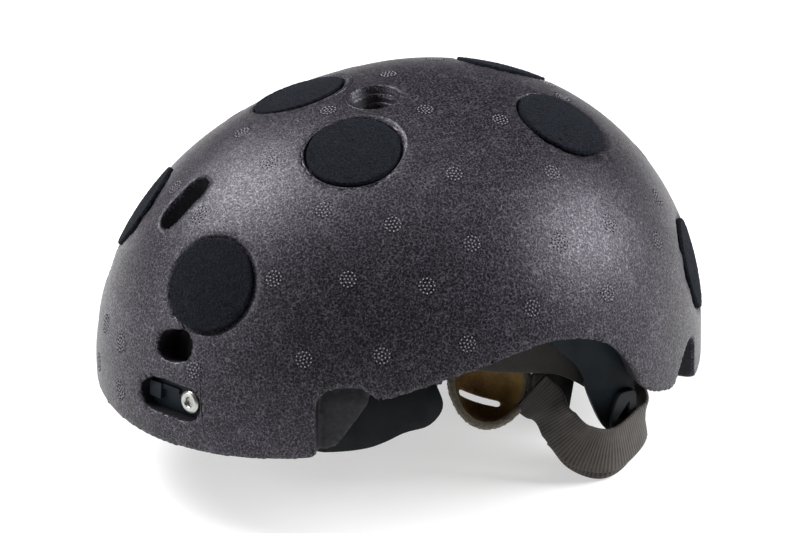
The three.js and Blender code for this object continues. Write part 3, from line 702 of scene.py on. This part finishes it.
# The ends of the tape fold round the buckle's two bars, as (out of the tape, along the pull) from BUCKLE_AT.
BUCKLE_WIDE = (Vector((0, 0, 1)) - PULL * PULL.z).normalized()
SLIDE_FOLD = [(0.6, 32.95), (2.1, 32.8), (2.35, 31.4), (2.1, 29.95), (0, 29.85),
              (-2.1, 29.95), (-2.35, 31.4), (-2.1, 32.8), (-0.6, 32.95)]
CHIN_FOLD = [(2.7, -19.4), (2.1, -16.4), (2.5, -13.6), (2.5, -11.5), (2.0, -10.55), (0, -10.45),
             (-2.0, -10.55), (-2.5, -11.5), (-2.4, -13.4), (-0.9, -16.4), (0.0, -19.4)]
for name, fold, body, thin in (("slide_fold", SLIDE_FOLD, "buckle_slide", 0.5),
                               ("chin_fold", CHIN_FOLD, "helmet", 0.8)):
    folded = [tuple(BUCKLE_AT + PULL.cross(BUCKLE_WIDE) * x + PULL * y) for x, y in fold]
    ribbon(name, folded, WEBBING, body, width=19.6, thick=thin, rib=0.03, upright=BUCKLE_WIDE, spacing=0.25)

for node in ("anchor_plate", "temple_wing", "strap_anchor", "cradle_arm", "strap_divider"):
    for label in ("left", "right"):
        tone = NAVY if node in ("anchor_plate", "cradle_arm") else BLACK
        eased(f"{node}_{label}", f"{node}_{label}_moulding", tone)
for node in ("buckle_female", "buckle_male", "buckle_prong_upper", "buckle_prong_lower"):
    eased(node, f"{node}_moulding", BLACK, 0.3)
for label in ("left", "right"):
    eased(f"strap_guide_{label}", f"strap_guide_{label}_moulding", GREY, 0.3)
    eased(f"anchor_rivet_{label}", f"anchor_rivet_{label}_turned", STEEL, 0.15)
    eased(f"cradle_pivot_{label}", f"cradle_pivot_{label}_turned", STEEL, 0.2)


def soften(node, name, material, voxel, rounds):
    piece = remeshed(copy_of(node, name, material), voxel)
    set_coordinates(piece.data, relaxed(piece.data, coordinates(piece.data), rounds))
    return piece


def roughened(piece, amount, scale):
    """Moves each point along its normal by smooth noise, for fleece and brushed cloth."""
    mesh = piece.data
    normals = np.empty(len(mesh.vertices) * 3)
    mesh.vertices.foreach_get("normal", normals)
    points = coordinates(mesh)
    shift = np.array([noise.noise(Vector(p) * scale) for p in points]) * amount * MM
    set_coordinates(mesh, points + normals.reshape(-1, 3) * shift[:, None])
    return piece


soften("chin_cup", "cup_lining", LEATHER, 0.55, 6)
roughened(soften("cup_binding", "cup_edge_fleece", FLEECE, 0.4, 2), 0.3, 900)
soften("cup_tab_rear", "cup_tab_rear_cloth", KNIT, 0.4, 2)
ribbon("cup_link_web", [(68.2, 29.5, 2.6), (65.6, 33, 1.6), (64.2, 37, 0.6)], KNIT, width=17, rib=0)
roughened(soften("cup_tab_front", "cup_tab_front_cloth", FLEECE, 0.4, 2), 0.3, 900)


# ---- cushions ----------------------------------------------------------------------------------

CUSHIONS = ("pad_front", "pad_rear", "pad_side_left", "pad_side_right", "pad_crown", "nape_pad")
HEAD_CENTRE = np.array([0.0, 0.014, 0.02])
SWELL = 2.4
PRESSURE, CLOTH_MASS, CLOTH_FRAMES = 10, 0.05, 20


def facing_head(points, normals):
    inward = HEAD_CENTRE - points
    return (normals * inward).sum(axis=1) / np.linalg.norm(inward, axis=1)


def puffed(pieces):
    """A short cloth simulation fills the cushions; the side against the foam stays where it was."""
    start = {piece: coordinates(piece.data) for piece in pieces}
    for piece in pieces:
        filling = piece.modifiers.new("filling", "CLOTH")
        filling.settings.use_pressure = True
        filling.settings.uniform_pressure_force = PRESSURE
        filling.settings.mass = CLOTH_MASS
        filling.settings.effector_weights.gravity = 0
        filling.point_cache.frame_start, filling.point_cache.frame_end = 1, CLOTH_FRAMES
    for step in range(1, CLOTH_FRAMES + 1):
        bpy.context.scene.frame_set(step)
    for piece, points in start.items():
        normals = np.empty(len(points) * 3)
        piece.data.vertices.foreach_get("normal", normals)
        move = coordinates(baked(piece).data) - points
        far = np.linalg.norm(move, axis=1)
        keep = np.minimum(1, SWELL * MM / np.maximum(far, 1e-9))
        keep *= np.clip(0.3 + facing_head(points, normals.reshape(-1, 3)), 0, 1)
        points = points + move * keep[:, None]
        set_coordinates(piece.data, relaxed(piece.data, points, 1))
        piece.data.polygons.foreach_set("use_smooth", [True] * len(piece.data.polygons))
    bpy.context.scene.frame_set(1)


def rim_loop(node):
    """The corner line round a cushion's face towards the head, as a closed run of points."""
    work = bmesh.new()
    work.from_mesh(NODES[node].data)
    bmesh.ops.remove_doubles(work, verts=work.verts, dist=0.004 * MM)
    links = {}
    for edge in work.edges:
        if len(edge.link_faces) != 2 or edge.calc_face_angle() < math.radians(35):
            continue
        middles = np.array([tuple(f.calc_center_median()) for f in edge.link_faces])
        facing = sorted(facing_head(middles, np.array([tuple(f.normal) for f in edge.link_faces])))
        if facing[1] > 0.72 and facing[0] < 0.6:
            a, b = edge.verts
            links.setdefault(a, []).append(b)
            links.setdefault(b, []).append(a)
    run, last = [min(links, key=lambda v: v.index)], None
    while True:
        following = [v for v in links[run[-1]] if v is not last and v is not run[-1]]
        last = run[-1]
        if not following or following[0] is run[0]:
            break
        run.append(following[0])
    points = np.array([tuple(v.co) for v in run])
    work.free()
    return points


def make_piping(node, piece, radius=0.9, sides=8):
    """A corded edge sewn round the cushion's face."""
    corners = rim_loop(node)
    corners = np.vstack([corners, corners[:1]])
    run = np.concatenate([[0], np.cumsum(np.linalg.norm(np.diff(corners, axis=0), axis=1))])
    count = int(run[-1] / (1.1 * MM))
    at = np.linspace(0, run[-1], count, endpoint=False)
    line = np.stack([np.interp(at, run, corners[:, k]) for k in range(3)], axis=1)
    for _ in range(6):
        line = 0.5 * line + 0.25 * (np.roll(line, 1, axis=0) + np.roll(line, -1, axis=0))
    spots = [piece.closest_point_on_mesh(Vector(p))[1:3] for p in line]
    line = np.array([tuple(spot + normal * 0.35 * MM) for spot, normal in spots])
    tangents = np.roll(line, -1, axis=0) - np.roll(line, 1, axis=0)
    vertices = []
    for (_, normal), centre, tangent in zip(spots, line, tangents):
        side = Vector(tangent).cross(normal).normalized()
        out = side.cross(Vector(tangent)).normalized()
        for k in range(sides):
            angle = 2 * math.pi * k / sides
            vertices.append(Vector(centre) + radius * MM * (math.cos(angle) * side + math.sin(angle) * out))
    faces = [(i * sides + k, i * sides + (k + 1) % sides, (i + 1) % count * sides + (k + 1) % sides,
              (i + 1) % count * sides + k) for i in range(count) for k in range(sides)]
    return new_piece(f"{node}_piping", vertices, faces, PIPING, BODY_OF[node])


cushions = [soften(node, f"{node}_cushion", KNIT, 2.4, 5) for node in CUSHIONS]
puffed(cushions)
for node, piece in zip(CUSHIONS, cushions):
    make_piping(node, piece)

# ---- floor, lights and camera ------------------------------------------------------------------

FLOOR_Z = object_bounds()[0].z - 0.001
FLOOR_HALF = 9


def plain_material(name, low, high):
    s = Shader(name, 0.9, Emission_Strength=0.55)
    s.bsdf.inputs["Emission Color"].default_value = (1, 1, 1, 1)
    s.set("Base Color", s.blend(s.noise(2, 2), (low,) * 3, (high,) * 3))
    return s.material


floor_mesh = bpy.data.meshes.new("floor")
corners = [(x * FLOOR_HALF, y * FLOOR_HALF, FLOOR_Z) for x, y in ((-1, -1), (1, -1), (1, 1), (-1, 1))]
floor_mesh.from_pydata(corners, [], [(0, 1, 2, 3)])
floor_mesh.materials.append(plain_material("floor_white", 0.52, 0.55))
floor = bpy.data.objects.new("floor", floor_mesh)
bpy.context.scene.collection.objects.link(floor)

world = bpy.data.worlds.new("studio")
world.use_nodes = True
world.node_tree.nodes["Background"].inputs[0].default_value = (1, 1, 1, 1)
world.node_tree.nodes["Background"].inputs[1].default_value = 0.06
bpy.context.scene.world = world
bpy.context.scene.view_settings.view_transform = "Standard"


def softbox(name, azimuth, elevation, distance, size, power):
    """An area light aimed at the dome; azimuth 0 is in front of the brow and 90 to the wearer's left."""
    light = bpy.data.lights.new(name, "AREA")
    light.shape, light.size, light.size_y = "RECTANGLE", size[0], size[1]
    light.energy = power
    lamp = bpy.data.objects.new(name, light)
    a, e = math.radians(azimuth), math.radians(elevation)
    back = Vector((math.sin(a) * math.cos(e), -math.cos(a) * math.cos(e), math.sin(e)))
    lamp.location = Vector((0, 0, 0.06)) + back * distance
    lamp.rotation_euler = back.to_track_quat("Z", "Y").to_euler()
    bpy.context.scene.collection.objects.link(lamp)


softbox("key_front", -50, 47, 1.3, (0.85, 0.6), 29)
softbox("key_rear", 156, 27, 1.2, (0.55, 0.45), 22)
softbox("overhead", 0, 89, 2.2, (1.6, 1.6), 12)
softbox("brow_fill", -8, 16, 1.5, (0.9, 0.7), 10)

CAMERA_AZIMUTH, CAMERA_ELEVATION, CAMERA_ROLL = 68.15, 25.51, -1.28
CAMERA_DISTANCE, AIM = 1.60096, Vector((0, 0, 0.07))
SENSOR_WIDTH, LENS = 36.0, 175.2615
TURN_RIGHT, TURN_UP = -0.0014122, 0.0190104


def make_camera():
    a, e, r = (math.radians(x) for x in (CAMERA_AZIMUTH, CAMERA_ELEVATION, CAMERA_ROLL))
    back = Vector((math.sin(a) * math.cos(e), -math.cos(a) * math.cos(e), math.sin(e)))
    level = Vector((math.cos(a), math.sin(a), 0))
    up = back.cross(level)
    right = math.cos(r) * level + math.sin(r) * up
    up = -math.sin(r) * level + math.cos(r) * up
    location = AIM + back * CAMERA_DISTANCE
    back = (back + right * TURN_RIGHT + up * TURN_UP).normalized()
    right = (right - back * right.dot(back)).normalized()
    up = back.cross(right)
    data = bpy.data.cameras.new("studio_camera")
    data.sensor_width = SENSOR_WIDTH
    data.lens = LENS
    camera = bpy.data.objects.new("studio_camera", data)
    camera.matrix_world = Matrix.Translation(location) @ Matrix((right, up, back)).transposed().to_4x4()
    bpy.context.scene.collection.objects.link(camera)
    bpy.context.scene.camera = camera


make_camera()
